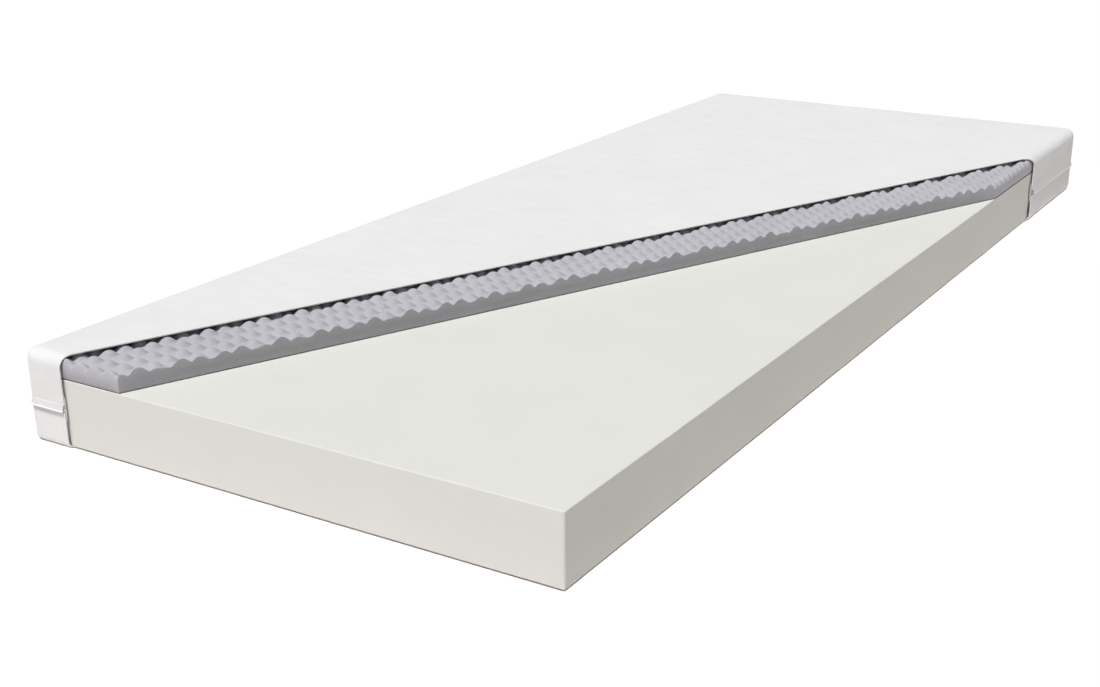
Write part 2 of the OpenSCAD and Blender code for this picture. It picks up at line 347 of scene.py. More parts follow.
@dataclass(frozen=True)
class WovenFinish:
    """Flat woven tape or satin: fine crossed threads."""

    name: str
    tone: tuple[float, float, float]
    thread: float = 0.6 * MM
    roughness: float = 0.8
    sheen: float = 0.1
    relief: float = 0.12 * MM
    slub_scale: float = 60.0

    def build(self) -> bpy.types.Material:
        """Makes the material."""
        g = Graph(self.name)
        place = g.place()
        rate = RIDGE / self.thread
        warp = g.node("ShaderNodeTexWave", {"bands_direction": "Z"},
                      {"Vector": place, "Scale": rate, "Distortion": 0.3}, "Fac")
        weft = g.node("ShaderNodeTexWave", {"bands_direction": "DIAGONAL"},
                      {"Vector": place, "Scale": rate * 0.8, "Distortion": 0.3}, "Fac")
        slub = g.speckle(place, self.slub_scale, 2.0)
        dark = tuple(c * 0.9 for c in self.tone)
        g.surface(
            Base_Color=g.blend(weft * 0.5 + slub * 0.5, dark, self.tone),
            Roughness=self.roughness,
            Specular_IOR_Level=0.3,
            Sheen_Weight=self.sheen,
            Normal=g.bump(warp * 0.5 + weft * 0.5, self.relief, 0.7),
        )
        return g.material


@dataclass(frozen=True)
class SolidFinish:
    """Moulded nylon, plated metal or dried glue, with a worn, uneven gloss."""

    name: str
    tone: tuple[float, float, float]
    metal: float = 0.0
    gloss: float = 0.4
    grain: float = 220.0
    relief: float = 0.02 * MM

    def build(self) -> bpy.types.Material:
        """Makes the material."""
        g = Graph(self.name)
        place = g.place()
        wear = g.speckle(place, self.grain, 3.0)
        fine = g.speckle(place, self.grain * 9, 2.0)
        dark = tuple(c * 0.8 for c in self.tone)
        g.surface(
            Base_Color=g.blend(wear, dark, self.tone),
            Metallic=self.metal,
            Roughness=self.gloss + wear * 0.15,
            Normal=g.bump(wear * 0.5 + fine * 0.5, self.relief, 0.4),
        )
        return g.material


@dataclass(frozen=True)
class Finishes:
    """Every material of the mattress, made once."""

    knit: bpy.types.Material
    flap: bpy.types.Material
    fleece: bpy.types.Material
    core: bpy.types.Material
    memory: bpy.types.Material
    tape: bpy.types.Material
    label: bpy.types.Material
    thread: bpy.types.Material
    coil: bpy.types.Material
    metal: bpy.types.Material
    glue: bpy.types.Material

    @classmethod
    def make(cls) -> "Finishes":
        """Builds the materials."""
        return cls(
            knit=KnitFinish("white_knit", linear(226, 226, 226)).build(),
            flap=KnitFinish("flap_knit", linear(222, 222, 222), streak=0.02).build(),
            fleece=FleeceFinish("cover_fleece", linear(216, 216, 213)).build(),
            core=FoamFinish("core_foam", linear(216, 216, 210), cloud=0.04).build(),
            memory=FoamFinish("memory_foam", linear(181, 180, 186), cell=1.4 * MM,
                              relief=0.3 * MM, cloud=0.13).build(),
            tape=WovenFinish("zip_tape", linear(232, 232, 230)).build(),
            label=WovenFinish("label_satin", linear(240, 240, 240), thread=0.35 * MM,
                              roughness=0.45, sheen=0.3).build(),
            thread=WovenFinish("sewing_thread", linear(238, 238, 236), thread=0.3 * MM,
                               roughness=0.7).build(),
            coil=SolidFinish("nylon_coil", linear(224, 224, 222), gloss=0.35).build(),
            metal=SolidFinish("plated_zinc", linear(205, 206, 208), metal=1.0,
                              gloss=0.28).build(),
            # The glue is real, but its dark tone is partly painted shade: it stands in for the
            # contact shadow line between the memory foam and the core.
            glue=SolidFinish("dried_glue", linear(120, 116, 108), gloss=0.5).build(),
        )


# ---------------------------------------------------------------- measurements


@dataclass(frozen=True)
class Measures:
    """Sizes and places in metres. Those without a value are read from the frame.

    The distance u is measured outwards from the foam's side face.
    """

    half_w: float
    half_l: float
    floor_of_core: float
    top_of_core: float
    floor_of_pad: float
    top_of_nubs: float
    u_lining: float
    u_knit: float
    u_cover: float
    u_flap_in: float
    u_flap: float
    top: float
    lining_top: float
    zip_z: float
    cut_point: Vector
    cut_normal: Vector
    park_y: float
    arc_r: float = 13.5 * MM
    top_edge_r: float = 16 * MM
    bottom_edge_r: float = 10 * MM
    bare_corner_r: float = 3 * MM
    strip: float = 87.2 * MM
    window: float = 72 * MM
    park_gap: float = 28 * MM
    lining_t: float = 0.9 * MM

    @classmethod
    def read(cls) -> "Measures":
        """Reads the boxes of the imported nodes.

        Returns:
            The measurements.
        """
        core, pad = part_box("foam_core"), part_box("memory_foam_layer")
        knit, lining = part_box("cover_upper_knit"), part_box("cover_upper_lining")
        foot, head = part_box("zip_flap_foot"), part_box("zip_flap_head")
        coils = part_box("zip_coil_lower_foot"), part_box("zip_coil_upper_foot")
        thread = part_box("flap_hem_thread_foot")
        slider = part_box("slider_body")
        u_knit = lining[1].x - core[1].x
        a = Vector((foot[1].x, core[0].y - u_knit, 0))
        b = Vector((core[1].x + u_knit, head[0].y, 0))
        along = (b - a).normalized()
        return cls(
            half_w=core[1].x,
            half_l=core[1].y,
            floor_of_core=core[0].z,
            top_of_core=core[1].z,
            floor_of_pad=pad[0].z,
            top_of_nubs=pad[1].z,
            u_lining=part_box("zip_tape_lower")[1].x - core[1].x - cls.lining_t,
            u_knit=u_knit,
            u_cover=knit[1].x - core[1].x,
            u_flap_in=core[0].x - thread[0].x,
            u_flap=core[0].x - foot[0].x,
            top=knit[1].z,
            lining_top=lining[1].z,
            zip_z=(coils[0][0].z + coils[1][1].z) / 2,
            cut_point=a,
            cut_normal=Vector((along.y, -along.x, 0)),
            park_y=(slider[0].y + slider[1].y) / 2,
        )

    @property
    def arc_x(self) -> float:
        """Half the distance between the centres of the corner arcs, across."""
        return self.half_w - self.arc_r

    @property
    def arc_y(self) -> float:
        """Half the distance between the centres of the corner arcs, along."""
        return self.half_l - self.arc_r

    def nearest_inside(self, p: Vector) -> Vector:
        """The point of the inner rectangle, through the arcs' centres, nearest to p."""
        return Vector((max(-self.arc_x, min(self.arc_x, p.x)),
                       max(-self.arc_y, min(self.arc_y, p.y)), p.z))

    def outwards(self, p: Vector) -> Vector:
        """The level direction out of the mattress at p."""
        away = p - self.nearest_inside(p)
        return away.normalized() if away.length > NEAR else Vector((0, 0, 0))

    def u_at(self, p: Vector) -> float:
        """How far p lies outside the foam's side face."""
        return (p - self.nearest_inside(p)).length - self.arc_r

    def past_cut(self, p: Vector) -> float:
        """How far p lies past the cover's cut, on the bare side."""
        return (Vector((p.x, p.y, 0)) - self.cut_point).dot(self.cut_normal)


# ----------------------------------------------------------------- mesh helpers


def finish_mesh(
    bm: bmesh.types.BMesh, name: str, material: bpy.types.Material, smooth: bool = True
) -> bpy.types.Object:
    """Turns a bmesh into an object that sits at the origin.

    Args:
        bm: The mesh, in metres and in the frame's own axes. It is freed.
        name: The object's name.
        material: Its finish.
        smooth: Whether its faces are shaded smooth.

    Returns:
        The new object, linked to the scene.
    """
    mesh = bpy.data.meshes.new(name)
    for face in bm.faces:
        face.smooth = smooth
    bm.to_mesh(mesh)
    bm.free()
    mesh.materials.append(material)
    piece = bpy.data.objects.new(name, mesh)
    bpy.context.scene.collection.objects.link(piece)
    return piece


def crease(bm: bmesh.types.BMesh, degrees: float) -> None:
    """Marks as sharp every edge that bends by more than an angle.

    Args:
        bm: The mesh.
        degrees: The angle.
    """
    bend = math.radians(degrees)
    for edge in bm.edges:
        edge.smooth = not edge.is_manifold or edge.calc_face_angle(0.0) < bend


def everything(bm: bmesh.types.BMesh) -> list:
    """All vertices, edges and faces, as the operators take them."""
    return [*bm.verts, *bm.edges, *bm.faces]


def thicken(bm: bmesh.types.BMesh, thickness: float) -> None:
    """Gives cloth its thickness, inwards from its outer face.

    Args:
        bm: The cloth's outer face.
        thickness: How thick it gets.
    """
    bmesh.ops.solidify(bm, geom=everything(bm), thickness=thickness)
    bmesh.ops.recalc_face_normals(bm, faces=bm.faces)
    crease(bm, CLOTH_CREASE)


def slice_at(bm: bmesh.types.BMesh, point: Vector, normal: Vector, cut: bool = False) -> None:
    """Cuts the mesh by a plane, and removes what lies past it if cut is True."""
    bmesh.ops.bisect_plane(bm, geom=everything(bm), dist=NEAR, plane_co=point,
                           plane_no=normal, clear_outer=cut)


def slice_evenly(bm: bmesh.types.BMesh, axis: int, low: float, high: float, step: float) -> None:
    """Cuts the mesh by parallel planes, with nothing removed.

    Args:
        bm: The mesh.
        axis: 0, 1 or 2, for planes across X, Y or Z.
        low: Where the first stretch starts.
        high: Where the last stretch ends.
        step: About how far apart the planes are.
    """
    count = max(1, round((high - low) / step))
    normal = Vector((0, 0, 0))
    normal[axis] = 1
    for k in range(1, count):
        slice_at(bm, normal * (low + (high - low) * k / count), normal)


def box_project(bm: bmesh.types.BMesh) -> None:
    """Lays a UV map in metres on the mesh, from the side that each face looks to.

    Args:
        bm: The mesh.
    """
    layer = bm.loops.layers.uv.new(CLOTH_UV)
    for face in bm.faces:
        n = [abs(c) for c in face.normal]
        across, up = ((1, 2), (0, 2), (0, 1))[n.index(max(n))]
        for loop in face.loops:
            loop[layer].uv = loop.vert.co[across], loop.vert.co[up]


def close_ends(bm: bmesh.types.BMesh) -> None:
    """Fills every open end, and turns all faces outwards."""
    bmesh.ops.holes_fill(bm, edges=[e for e in bm.edges if e.is_boundary], sides=0)
    bmesh.ops.recalc_face_normals(bm, faces=bm.faces)


def smooth_step(t: float) -> float:
    """Eases from 0 to 1."""
    t = max(0.0, min(1.0, t))
    return t * t * (3 - 2 * t)


def add_modifier(piece: bpy.types.Object, kind: str, **settings: object) -> None:
    """Adds a modifier.

    Args:
        piece: The object.
        kind: The modifier's type.
        settings: The modifier's own settings.
    """
    made = piece.modifiers.new(kind.title(), kind)
    for key, value in settings.items():
        setattr(made, key, value)


@dataclass
class Sweeper:
    """Sweeps sections round the mattress's outline."""

    m: Measures
    arc_steps: int = 10

    def ring(self, bm: bmesh.types.BMesh, u: float, z: float) -> list[bmesh.types.BMEdge]:
        """Makes the outline as one closed loop of edges.

        Args:
            bm: The mesh to add it to.
            u: How far out of the foam's side face it lies.
            z: Its height.

        Returns:
            Its edges.
        """
        m = self.m
        turn = math.pi / 4 / self.arc_steps
        made = bmesh.ops.create_circle(bm, cap_ends=False, radius=m.arc_r,
                                       segments=4 * self.arc_steps,
                                       matrix=Matrix.Rotation(turn, 4, "Z"))
        for v in made["verts"]:
            v.co.x += math.copysign(m.arc_x, v.co.x)
            v.co.y += math.copysign(m.arc_y, v.co.y)
        self.move(made["verts"], u, z)
        return list({e for v in made["verts"] for e in v.link_edges})

    def move(self, verts: Iterable[bmesh.types.BMVert], u: float, z: float) -> None:
        """Moves vertices to the outline, each on its own way out.

        Args:
            verts: The vertices.
            u: How far out of the foam's side face they go.
            z: Their new height.
        """
        m = self.m
        for v in verts:
            inside = m.nearest_inside(v.co)
            out = Vector((v.co.x - inside.x, v.co.y - inside.y, 0)).normalized()
            v.co = Vector((inside.x, inside.y, 0)) + out * (m.arc_r + u)
            v.co.z = z

    def skin(
        self,
        bm: bmesh.types.BMesh,
        section: Sequence[tuple[float, float]],
        closed: bool = False,
        edges: list[bmesh.types.BMEdge] | None = None,
    ) -> list[bmesh.types.BMEdge]:
        """Extrudes the outline through the points of a section.

        Args:
            bm: The mesh to add it to.
            section: Points (u, z), in order.
            closed: Whether the last ring is bridged to the first.
            edges: The first ring, if it is already made.

        Returns:
            The edges of the last ring.
        """
        first = edges or self.ring(bm, *section[0])
        last = first
        for u, z in section[1:]:
            made = bmesh.ops.extrude_edge_only(bm, edges=last)["geom"]
            self.move([g for g in made if isinstance(g, bmesh.types.BMVert)], u, z)
            last = [g for g in made if isinstance(g, bmesh.types.BMEdge)
                    and all(abs(v.co.z - z) < TINY and v in made for v in g.verts)]
        if closed:
            bmesh.ops.bridge_loops(bm, edges=[*first, *last])
        return last


def arc(centre: tuple[float, float], radius: float, start: float, end: float,
        steps: int) -> list[tuple[float, float]]:
    """Points of a circular arc, from one angle to another in degrees."""
    angles = [math.radians(start + (end - start) * k / steps) for k in range(steps + 1)]
    return [(centre[0] + radius * math.cos(a), centre[1] + radius * math.sin(a)) for a in angles]


# ------------------------------------------------------------------ foam pieces


@dataclass
class FoamCore:
    """The plain foam block that the other layers lie on."""

    m: Measures
    finishes: Finishes
    edge_r: float = 1.6 * MM
    step: float = 60 * MM
    wander: float = 0.5 * MM
    wander_rate: float = 5.0
    covered_edge_r: float = 9 * MM
    change: float = 20 * MM

    def build(self) -> bpy.types.Object:
        """Makes the block, bevels its edges and lets its faces wander a little.

        Returns:
            The piece.
        """
        m = self.m
        bm = bmesh.new()
        height = m.top_of_core - m.floor_of_core
        size = Matrix.Diagonal((2 * m.half_w, 2 * m.half_l, height, 1))
        middle = Matrix.Translation((0, 0, (m.top_of_core + m.floor_of_core) / 2))
        bmesh.ops.create_cube(bm, size=1, matrix=middle @ size)
        for bare in (False, True):
            upright = [e for e in bm.edges if abs((e.verts[0].co - e.verts[1].co).z) > height / 2
                       and (e.verts[0].co.x > 0 > e.verts[0].co.y) == bare
                       and abs(e.verts[0].co.x) > m.half_w - MM
                       and abs(e.verts[0].co.y) > m.half_l - MM]
            bmesh.ops.bevel(bm, geom=upright, offset=m.bare_corner_r if bare else m.arc_r,
                            affect="EDGES", segments=4 if bare else 10, profile=0.5, material=-1)
        rims = [e for e in bm.edges if abs(e.verts[0].co.z - e.verts[1].co.z) < TINY]
        bmesh.ops.bevel(bm, geom=rims, offset=self.edge_r, affect="EDGES", segments=3,
                        profile=0.5, material=-1)
        slice_evenly(bm, 0, -m.half_w, m.half_w, self.step)
        slice_evenly(bm, 1, -m.half_l, m.half_l, self.step)
        slice_evenly(bm, 2, m.floor_of_core, m.top_of_core, self.step / 2)
        slice_at(bm, m.cut_point, m.cut_normal)
        for v in bm.verts:
            self._shape(v)
        piece = finish_mesh(bm, "foam_core_block", self.finishes.core)
        add_modifier(piece, "WEIGHTED_NORMAL", keep_sharp=True)
        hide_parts("foam_core")
        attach(piece, "base")
        return piece

    def _shape(self, v: bmesh.types.BMVert) -> None:
        """Draws a vertex in under the cover, or lets it wander on a bare face.

        Args:
            v: The vertex.
        """
        m = self.m
        inside = smooth_step(-m.past_cut(v.co) / self.change)
        low = v.co.z - m.floor_of_core
        draw = self.covered_edge_r - math.sqrt(max(
            0.0, self.covered_edge_r**2 - max(0.0, self.covered_edge_r - low) ** 2))
        out = m.outwards(v.co) if m.u_at(v.co) > -self.covered_edge_r else Vector((0, 0, 0))
        v.co -= out * draw * inside
        bare = 1 - inside
        v.co += out * (noise.noise(v.co * self.wander_rate) - 0.5) * self.wander * bare


@dataclass
class MemoryFoam:
    """The convoluted memory foam sheet, cut along its own diagonal."""

    m: Measures
    finishes: Finishes
    cell: float = 6.45 * MM
    step_w: float = 25.8 * MM
    step_l: float = 25.15 * MM
    shift: float = 4.2 * MM
    nub_h: float = 8.7 * MM
    roundness: float = 0.8
    distinct: float = 0.55
    unevenness: float = 0.5 * MM
    foot_round: float = 2.0 * MM
    edge_round: float = 4.5 * MM
    fine_margin: float = 26 * MM
    swell_power: float = 1.2
    slow_rate: float = 19.0
    quick_rate: float = 61.0
    quick_share: float = 0.6
    under_lining: float = 1.0 * MM
    corner_facets: int = 6
    rim_bend: float = 60.0

    def height(self, p: Vector) -> float:
        """Finds how high the foam's surface is.

        Args:
            p: A point, of which X and Y count.

        Returns:
            The height above the floor.
        """
        m = self.m
        across = math.sin(math.pi * (p.x - self.shift) / self.step_w) ** 2
        along = math.sin(math.pi * (p.y + m.half_l) / self.step_l) ** 2
        dome = ((1 - across**2) * (1 - along**2)) ** self.roundness
        swell = (1 - (across + along) / 2) ** self.swell_power
        crown = self.distinct * dome + (1 - self.distinct) * swell
        slow = noise.noise(Vector((p.x, p.y, 0.1)) * self.slow_rate) - 0.9
        quick = noise.noise(Vector((p.x, p.y, 0.3)) * self.quick_rate) - 0.6
        uneven = (slow + quick * self.quick_share) * self.unevenness
        z = m.top_of_nubs - self.nub_h * (1 - crown) + uneven
        gap = max(0.0, self.edge_round + m.u_at(p))
        z -= self.edge_round - math.sqrt(self.edge_round**2 - min(gap, self.edge_round) ** 2)
        inner_r = m.top_edge_r - (m.u_cover - m.u_lining)
        reach = inner_r - m.u_lining + m.u_at(p)
        if m.past_cut(p) < 0 and reach > 0:
            ceiling = m.lining_top - m.lining_t - inner_r + math.sqrt(inner_r**2 - reach**2)
            z = min(z, ceiling - self.under_lining)
        return z

    def build(self) -> bpy.types.Object:
        """Makes the sheet as a fine grid, raises its nubs and closes it below.

        Returns:
            The piece.
        """
        m = self.m
        bm = bmesh.new()
        size = Matrix.Diagonal((m.half_w, m.half_l, 1, 1))
        bmesh.ops.create_grid(bm, x_segments=round(2 * m.half_w / self.cell),
                              y_segments=round(2 * m.half_l / self.cell), size=1, matrix=size)
        slice_at(bm, m.cut_point + m.cut_normal * m.strip, m.cut_normal, cut=True)
        self._round_corners(bm)
        strip = [f for f in bm.faces if m.past_cut(f.calc_center_median()) > -self.fine_margin]
        bmesh.ops.subdivide_edges(bm, edges=list({e for f in strip for e in f.edges}), cuts=2,
                                  use_grid_fill=True)
        for v in bm.verts:
            v.co.z = self.height(v.co)
        self._close_below(bm)
        piece = finish_mesh(bm, "memory_foam_sheet", self.finishes.memory)
        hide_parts("memory_foam_layer")
        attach(piece, "base")
        return piece

    def _close_below(self, bm: bmesh.types.BMesh) -> None:
        """Drops the sides, tucks their lower edge in and fills the underside.

        Args:
            bm: The sheet's upper face.
        """
        m = self.m
        top_rim = {e for e in bm.edges if e.is_boundary
                   and min(m.past_cut(v.co) for v in e.verts) > m.strip - MM}
        for z, inset in ((m.floor_of_pad + self.foot_round, 0.0), (m.floor_of_pad, 1.0)):
            rim = [e for e in bm.edges if e.is_boundary]
            made = bmesh.ops.extrude_edge_only(bm, edges=rim)["geom"]
            for v in (g for g in made if isinstance(g, bmesh.types.BMVert)):
                inwards = m.cut_normal if m.past_cut(v.co) > m.strip - MM else m.outwards(v.co)
                v.co -= inwards * inset * self.foot_round
                v.co.z = z
        bmesh.ops.edgeloop_fill(bm, edges=[e for e in bm.edges if e.is_boundary])
        bmesh.ops.recalc_face_normals(bm, faces=bm.faces)
        crease(bm, self.rim_bend)
        for edge in top_rim:
            edge.smooth = False

    def _round_corners(self, bm: bmesh.types.BMesh) -> None:
        """Trims the covered corners to their arcs with a few planes each.

        Args:
            bm: The sheet's upper face.
        """
        m = self.m
        for sx, sy in ((-1, -1), (-1, 1), (1, 1)):
            centre = Vector((sx * m.arc_x, sy * m.arc_y, 0))
            for k in range(1, self.corner_facets):
                turn = math.radians(90 * k / self.corner_facets)
                out = Vector((sx * math.cos(turn), sy * math.sin(turn), 0))
                slice_at(bm, centre + out * m.arc_r, out, cut=True)


# ------------------------------------------------------------------ the cover


@dataclass(frozen=True)
class FlapShape:
    """The flap's section. Its heights are above the zip's centre line."""

    leave: float = 6.4 * MM
    bend_top: float = 6.1 * MM
    bend_fall: float = 2.6 * MM
    bend_power: float = 1.3
    bend_steps: int = 5
    slack: float = 0.1 * MM
    hem_end: float = 1.6
    hem_start: float = 62.0
    hem_steps: int = 9
    back_low: float = 3.1 * MM
    back_middle: float = 4.5 * MM
    back_step: float = 1.6 * MM
    back_high: float = 5.3 * MM


@dataclass(frozen=True)
class FlapPress:
    """How the flap is pressed in where no slider passes, and how its lip waves."""

    lip: float = 0.45
    more: float = 0.43
    below_zip: float = 3.5 * MM
    over: float = 1.2 * MM
    wave: float = 0.5 * MM
    wave_rate: float = 11.0
    reach: float = 4 * MM


@dataclass
class Cover:
    """The zipped cover: knit, lining, flap, tapes, coils and label."""

    m: Measures
    finishes: Finishes
    sweep: Sweeper
    grid: float = 40 * MM
    knit_t: float = 1.5 * MM
    lining_t: float = 0.8 * MM
    lining_trim: float = 5 * MM
    flap_t: float = 1.0 * MM
    tape_w: float = 15 * MM
    tape_gap: float = 0.7 * MM
    knit_edge: float = 6 * MM
    flap_up: float = 10 * MM
    flap_down: float = 5 * MM
    flap_relax: float = 34 * MM
    slider_end: float = 56 * MM
    coil_w: float = 2.1 * MM
    coil_slit: float = 1.4 * MM
    coil_pitch: float = 1.5 * MM
    coil_t: float = 1.6 * MM
    coil_lift: float = 0.02 * MM
    coil_round: float = 0.5 * MM
    coil_ridge: float = 0.35 * MM
    tape_t: float = 0.5 * MM
    flap_strip: float = 17 * MM
    wall_reach: float = 12 * MM
    wall_step: float = 14 * MM
    edge_steps: int = 8
    lining_gap: float = 0.05 * MM
    rim_gap: float = 0.4 * MM
    loose: float = 0.55 * MM
    loose_wave: float = 0.45 * MM
    loose_ripple: float = 0.18 * MM
    hem_thread_r: float = 0.22 * MM
    hem_thread_out: float = 0.1 * MM
    hem_thread_up: float = 2.9 * MM
    label_t: float = 0.3 * MM
    label_off: float = 1.4 * MM
    label_curl: float = 3.2 * MM
    label_wave: float = 0.5 * MM
    flap_shape: FlapShape = FlapShape()
    flap_press: FlapPress = FlapPress()

    def ease(self, v: Vector) -> Vector:
        """Finds how far loosely fitted cloth stands proud.

        Args:
            v: A point of the cloth.

        Returns:
            How far the point moves.
        """
        out = self.m.outwards(v) if self.m.u_at(v) > -self.wall_reach else Vector((0, 0, 0))
        wave = noise.noise(Vector((v.x * 4, v.y * 4, v.z * 9)))
        ripple = noise.noise(Vector((v.x * 17, v.y * 17, v.z * 6 + 9)))
        return out * (self.loose + self.loose_wave * wave + self.loose_ripple * ripple)

    def tray(self, name: str, side: Side, u: float, z_far: float, z_near: float, edge_r: float,
             material: bpy.types.Material, thickness: float, trim: float = 0.0
             ) -> bpy.types.Object:
        """Makes one half of the cover, or of its lining.

        Args:
            name: The piece's name.
            side: Lower or upper half.
            u: How far out its outer face stands.
            z_far: The height of its panel's outer face.
            z_near: The height of its open rim.
            edge_r: The radius between wall and panel.
            material: Its finish.
            thickness: The cloth's thickness.
            trim: How far short of the knit's cut it ends.

        Returns:
            The piece.
        """
        m, bm = self.m, bmesh.new()
        s = side.value
        bend = arc((u - edge_r, z_far - s * edge_r), edge_r, 0, 90 * s, self.edge_steps)
        last = self.sweep.skin(bm, [(u, z_near), *bend])
        bmesh.ops.edgeloop_fill(bm, edges=last)
        slice_evenly(bm, 0, -m.half_w, m.half_w, self.grid)
        slice_evenly(bm, 1, -m.half_l, m.half_l, self.grid)
        slice_evenly(bm, 2, min(z_near, z_far), max(z_near, z_far), self.wall_step)
        slice_at(bm, m.cut_point - m.cut_normal * trim, m.cut_normal, cut=True)
        bmesh.ops.recalc_face_normals(bm, faces=bm.faces)
        if sum(f.normal.z * f.calc_area() for f in bm.faces) * s < 0:
            bmesh.ops.reverse_faces(bm, faces=bm.faces)
        for v in bm.verts:
            v.co += self.ease(v.co)
        bm.normal_update()
        thicken(bm, thickness)
        box_project(bm)
        return finish_mesh(bm, name, material)

    def cloth_area(self, piece: bpy.types.Object) -> float:
        """The area of one side of the cloth."""
        return sum(p.area for p in piece.data.polygons) / 2

    def declare(self, piece: bpy.types.Object, node: Sequence[str], body: str) -> bpy.types.Object:
        """Ties a sheet of cloth to the frame.

        Args:
            piece: The sheet.
            node: The CAD nodes that it replaces.
            body: The body that it rides on.

        Returns:
            The same piece.
        """
        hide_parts(*node)
        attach(piece, body)
        return piece

    def build_trays(self) -> list[bpy.types.Object]:
        """Makes the knit and the lining of both halves.

        Returns:
            The four pieces.
        """
        m, f = self.m, self.finishes
        lining_u = m.u_knit - self.lining_gap
        knit_t = m.u_cover - m.u_knit
        rim = {Side.LOWER: m.zip_z - self.knit_edge, Side.UPPER: m.zip_z + self.flap_up}
        inner_rim = self.tape_gap + self.tape_w + self.rim_gap
        made = []
        for side, body, word in ((Side.LOWER, "base", "lower"),
                                 (Side.UPPER, "upper_cover", "upper")):
            s = side.value
            panel = m.top if side is Side.UPPER else 0.0
            edge_r = m.top_edge_r if side is Side.UPPER else m.bottom_edge_r
            drop = abs(rim[side] - panel)
            flat = (2 * (m.half_w + drop), 2 * (m.half_l + drop))
            knit = self.tray(f"{word}_knit", side, m.u_cover, panel, rim[side], edge_r, f.knit,
                             self.knit_t)
            self.declare(knit, [f"cover_{word}_knit"], body)
            inner_panel = panel - s * (knit_t + self.lining_gap)
            lining = self.tray(f"{word}_lining", side, lining_u, inner_panel,
                               m.zip_z + s * inner_rim, edge_r - knit_t, f.fleece, self.lining_t,
                               self.lining_trim)
            self.declare(lining, [f"cover_{word}_lining"], body)
            made += [knit, lining]
        return made

    def flap_section(self) -> list[tuple[float, float]]:
        """Draws the flap: it leaves the knit, steps out over the zip and ends in a rolled hem.

        Returns:
            Points (u, z) of its closed section.
        """
        m, shape = self.m, self.flap_shape
        z, u = m.zip_z, m.u_cover
        roll = (m.u_flap - m.u_flap_in - shape.slack) / 2
        middle, low = m.u_flap_in + shape.slack / 2 + roll, z - self.flap_down + roll
        skin = m.u_flap_in + self.flap_t
        back = m.u_knit + shape.slack
        outer = [(u, z + self.flap_up), (u, z + shape.leave)]
        for k in range(1, shape.bend_steps + 1):
            share = k / shape.bend_steps
            fall = shape.bend_fall * share**shape.bend_power
            outer.append((u + (skin - u) * smooth_step(share), z + shape.bend_top - fall))
        outer += [(skin, z), (skin, low + roll * shape.hem_end)]
        hem = arc((middle, low), roll, shape.hem_start, -180, shape.hem_steps)
        inner = [(m.u_flap_in, z), (m.u_flap_in, z + shape.back_low),
                 (u + shape.back_step, z + shape.back_middle),
                 (back, z + shape.back_high), (back, z + self.flap_up)]
        return [*outer, *hem, *inner]

    def band(self, section: Sequence[tuple[float, float]], step: float) -> bmesh.types.BMesh:
        """Sweeps a closed section round the mattress, as far as the cover's cut.

        Args:
            section: Points (u, z), in order.
            step: About how far apart its cross cuts are.

        Returns:
            The band, with open ends.
        """
        m, bm = self.m, bmesh.new()
        self.sweep.skin(bm, section, closed=True)
        slice_evenly(bm, 0, -m.half_w, m.half_w, step)
        slice_evenly(bm, 1, -m.half_l, m.half_l, step)
        slice_at(bm, m.cut_point, m.cut_normal, cut=True)
        return bm

    def keep_run(self, bm: bmesh.types.BMesh, run: Run, gap: float) -> None:
        """Keeps one run of a band: up to the parked slider, or from it on.

        Args:
            bm: The band.
            run: The run to keep.
            gap: How long the gap at the parked slider is.
        """
        m = self.m
        for y in (m.park_y - gap / 2, m.park_y + gap / 2):
            slice_at(bm, Vector((0, y, 0)), Vector((0, 1, 0)))

        def unwanted(face: bmesh.types.BMFace) -> bool:
            """Whether a face is outside the run."""
            c = face.calc_center_median()
            foot = c.x < 0 and c.y < m.park_y - gap / 2
            head = not (c.x < 0 and c.y < m.park_y + gap / 2)
            return not (foot if run is Run.FOOT else head)

        bmesh.ops.delete(bm, geom=[f for f in bm.faces if unwanted(f)], context="FACES")

    def settle(self, bm: bmesh.types.BMesh) -> None:
        """Lets the flap lie closer where no slider passes beneath it, and wave a little.

        Args:
            bm: The flap, or the thread of its hem.
        """
        m, press = self.m, self.flap_press
        for v in bm.verts:
            over = m.u_at(v.co) - m.u_cover
            if over > 0:
                free = 1.0 if v.co.x > -m.half_w + m.arc_r else smooth_step(
                    (abs(v.co.y) - m.half_l + self.slider_end + self.flap_relax) / self.flap_relax)
                body = smooth_step((v.co.z - m.zip_z + press.below_zip) / press.over)
                v.co -= m.outwards(v.co) * over * (press.lip + press.more * body) * free
            lip = press.wave * noise.noise(v.co * press.wave_rate) * smooth_step(over / press.reach)
            v.co += self.ease(v.co)
            v.co.z += lip

    def build_hem_thread(self, run: Run) -> bpy.types.Object:
        """Makes the row of stitches that holds one run of the flap's hem.

        Args:
            run: The run.

        Returns:
            The piece.
        """
        m = self.m
        centre = (m.u_flap_in + self.flap_t + self.hem_thread_out,
                  m.zip_z - self.flap_down + self.hem_thread_up)
        bm = self.band(arc(centre, self.hem_thread_r, 150, -150, 5), self.grid)
        self.keep_run(bm, run, m.window)
        close_ends(bm)
        self.settle(bm)
        piece = finish_mesh(bm, f"flap_hem_stitching_{run.value}", self.finishes.thread)
        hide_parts(f"flap_hem_thread_{run.value}")
        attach(piece, "upper_cover")
        return piece

    def build_flap(self, run: Run) -> bpy.types.Object:
        """Makes one run of the flap.

        Args:
            run: The run.

        Returns:
            The piece.
        """
        bm = self.band(self.flap_section(), self.grid)
        self.keep_run(bm, run, self.m.window)
        close_ends(bm)
        self.settle(bm)
        bm.normal_update()
        crease(bm, CLOTH_CREASE)
        box_project(bm)
        piece = finish_mesh(bm, f"zip_flap_fold_{run.value}", self.finishes.flap)
        length = self.cloth_area(piece) / self.flap_strip
        return self.declare(piece, [f"zip_flap_{run.value}"], "upper_cover")

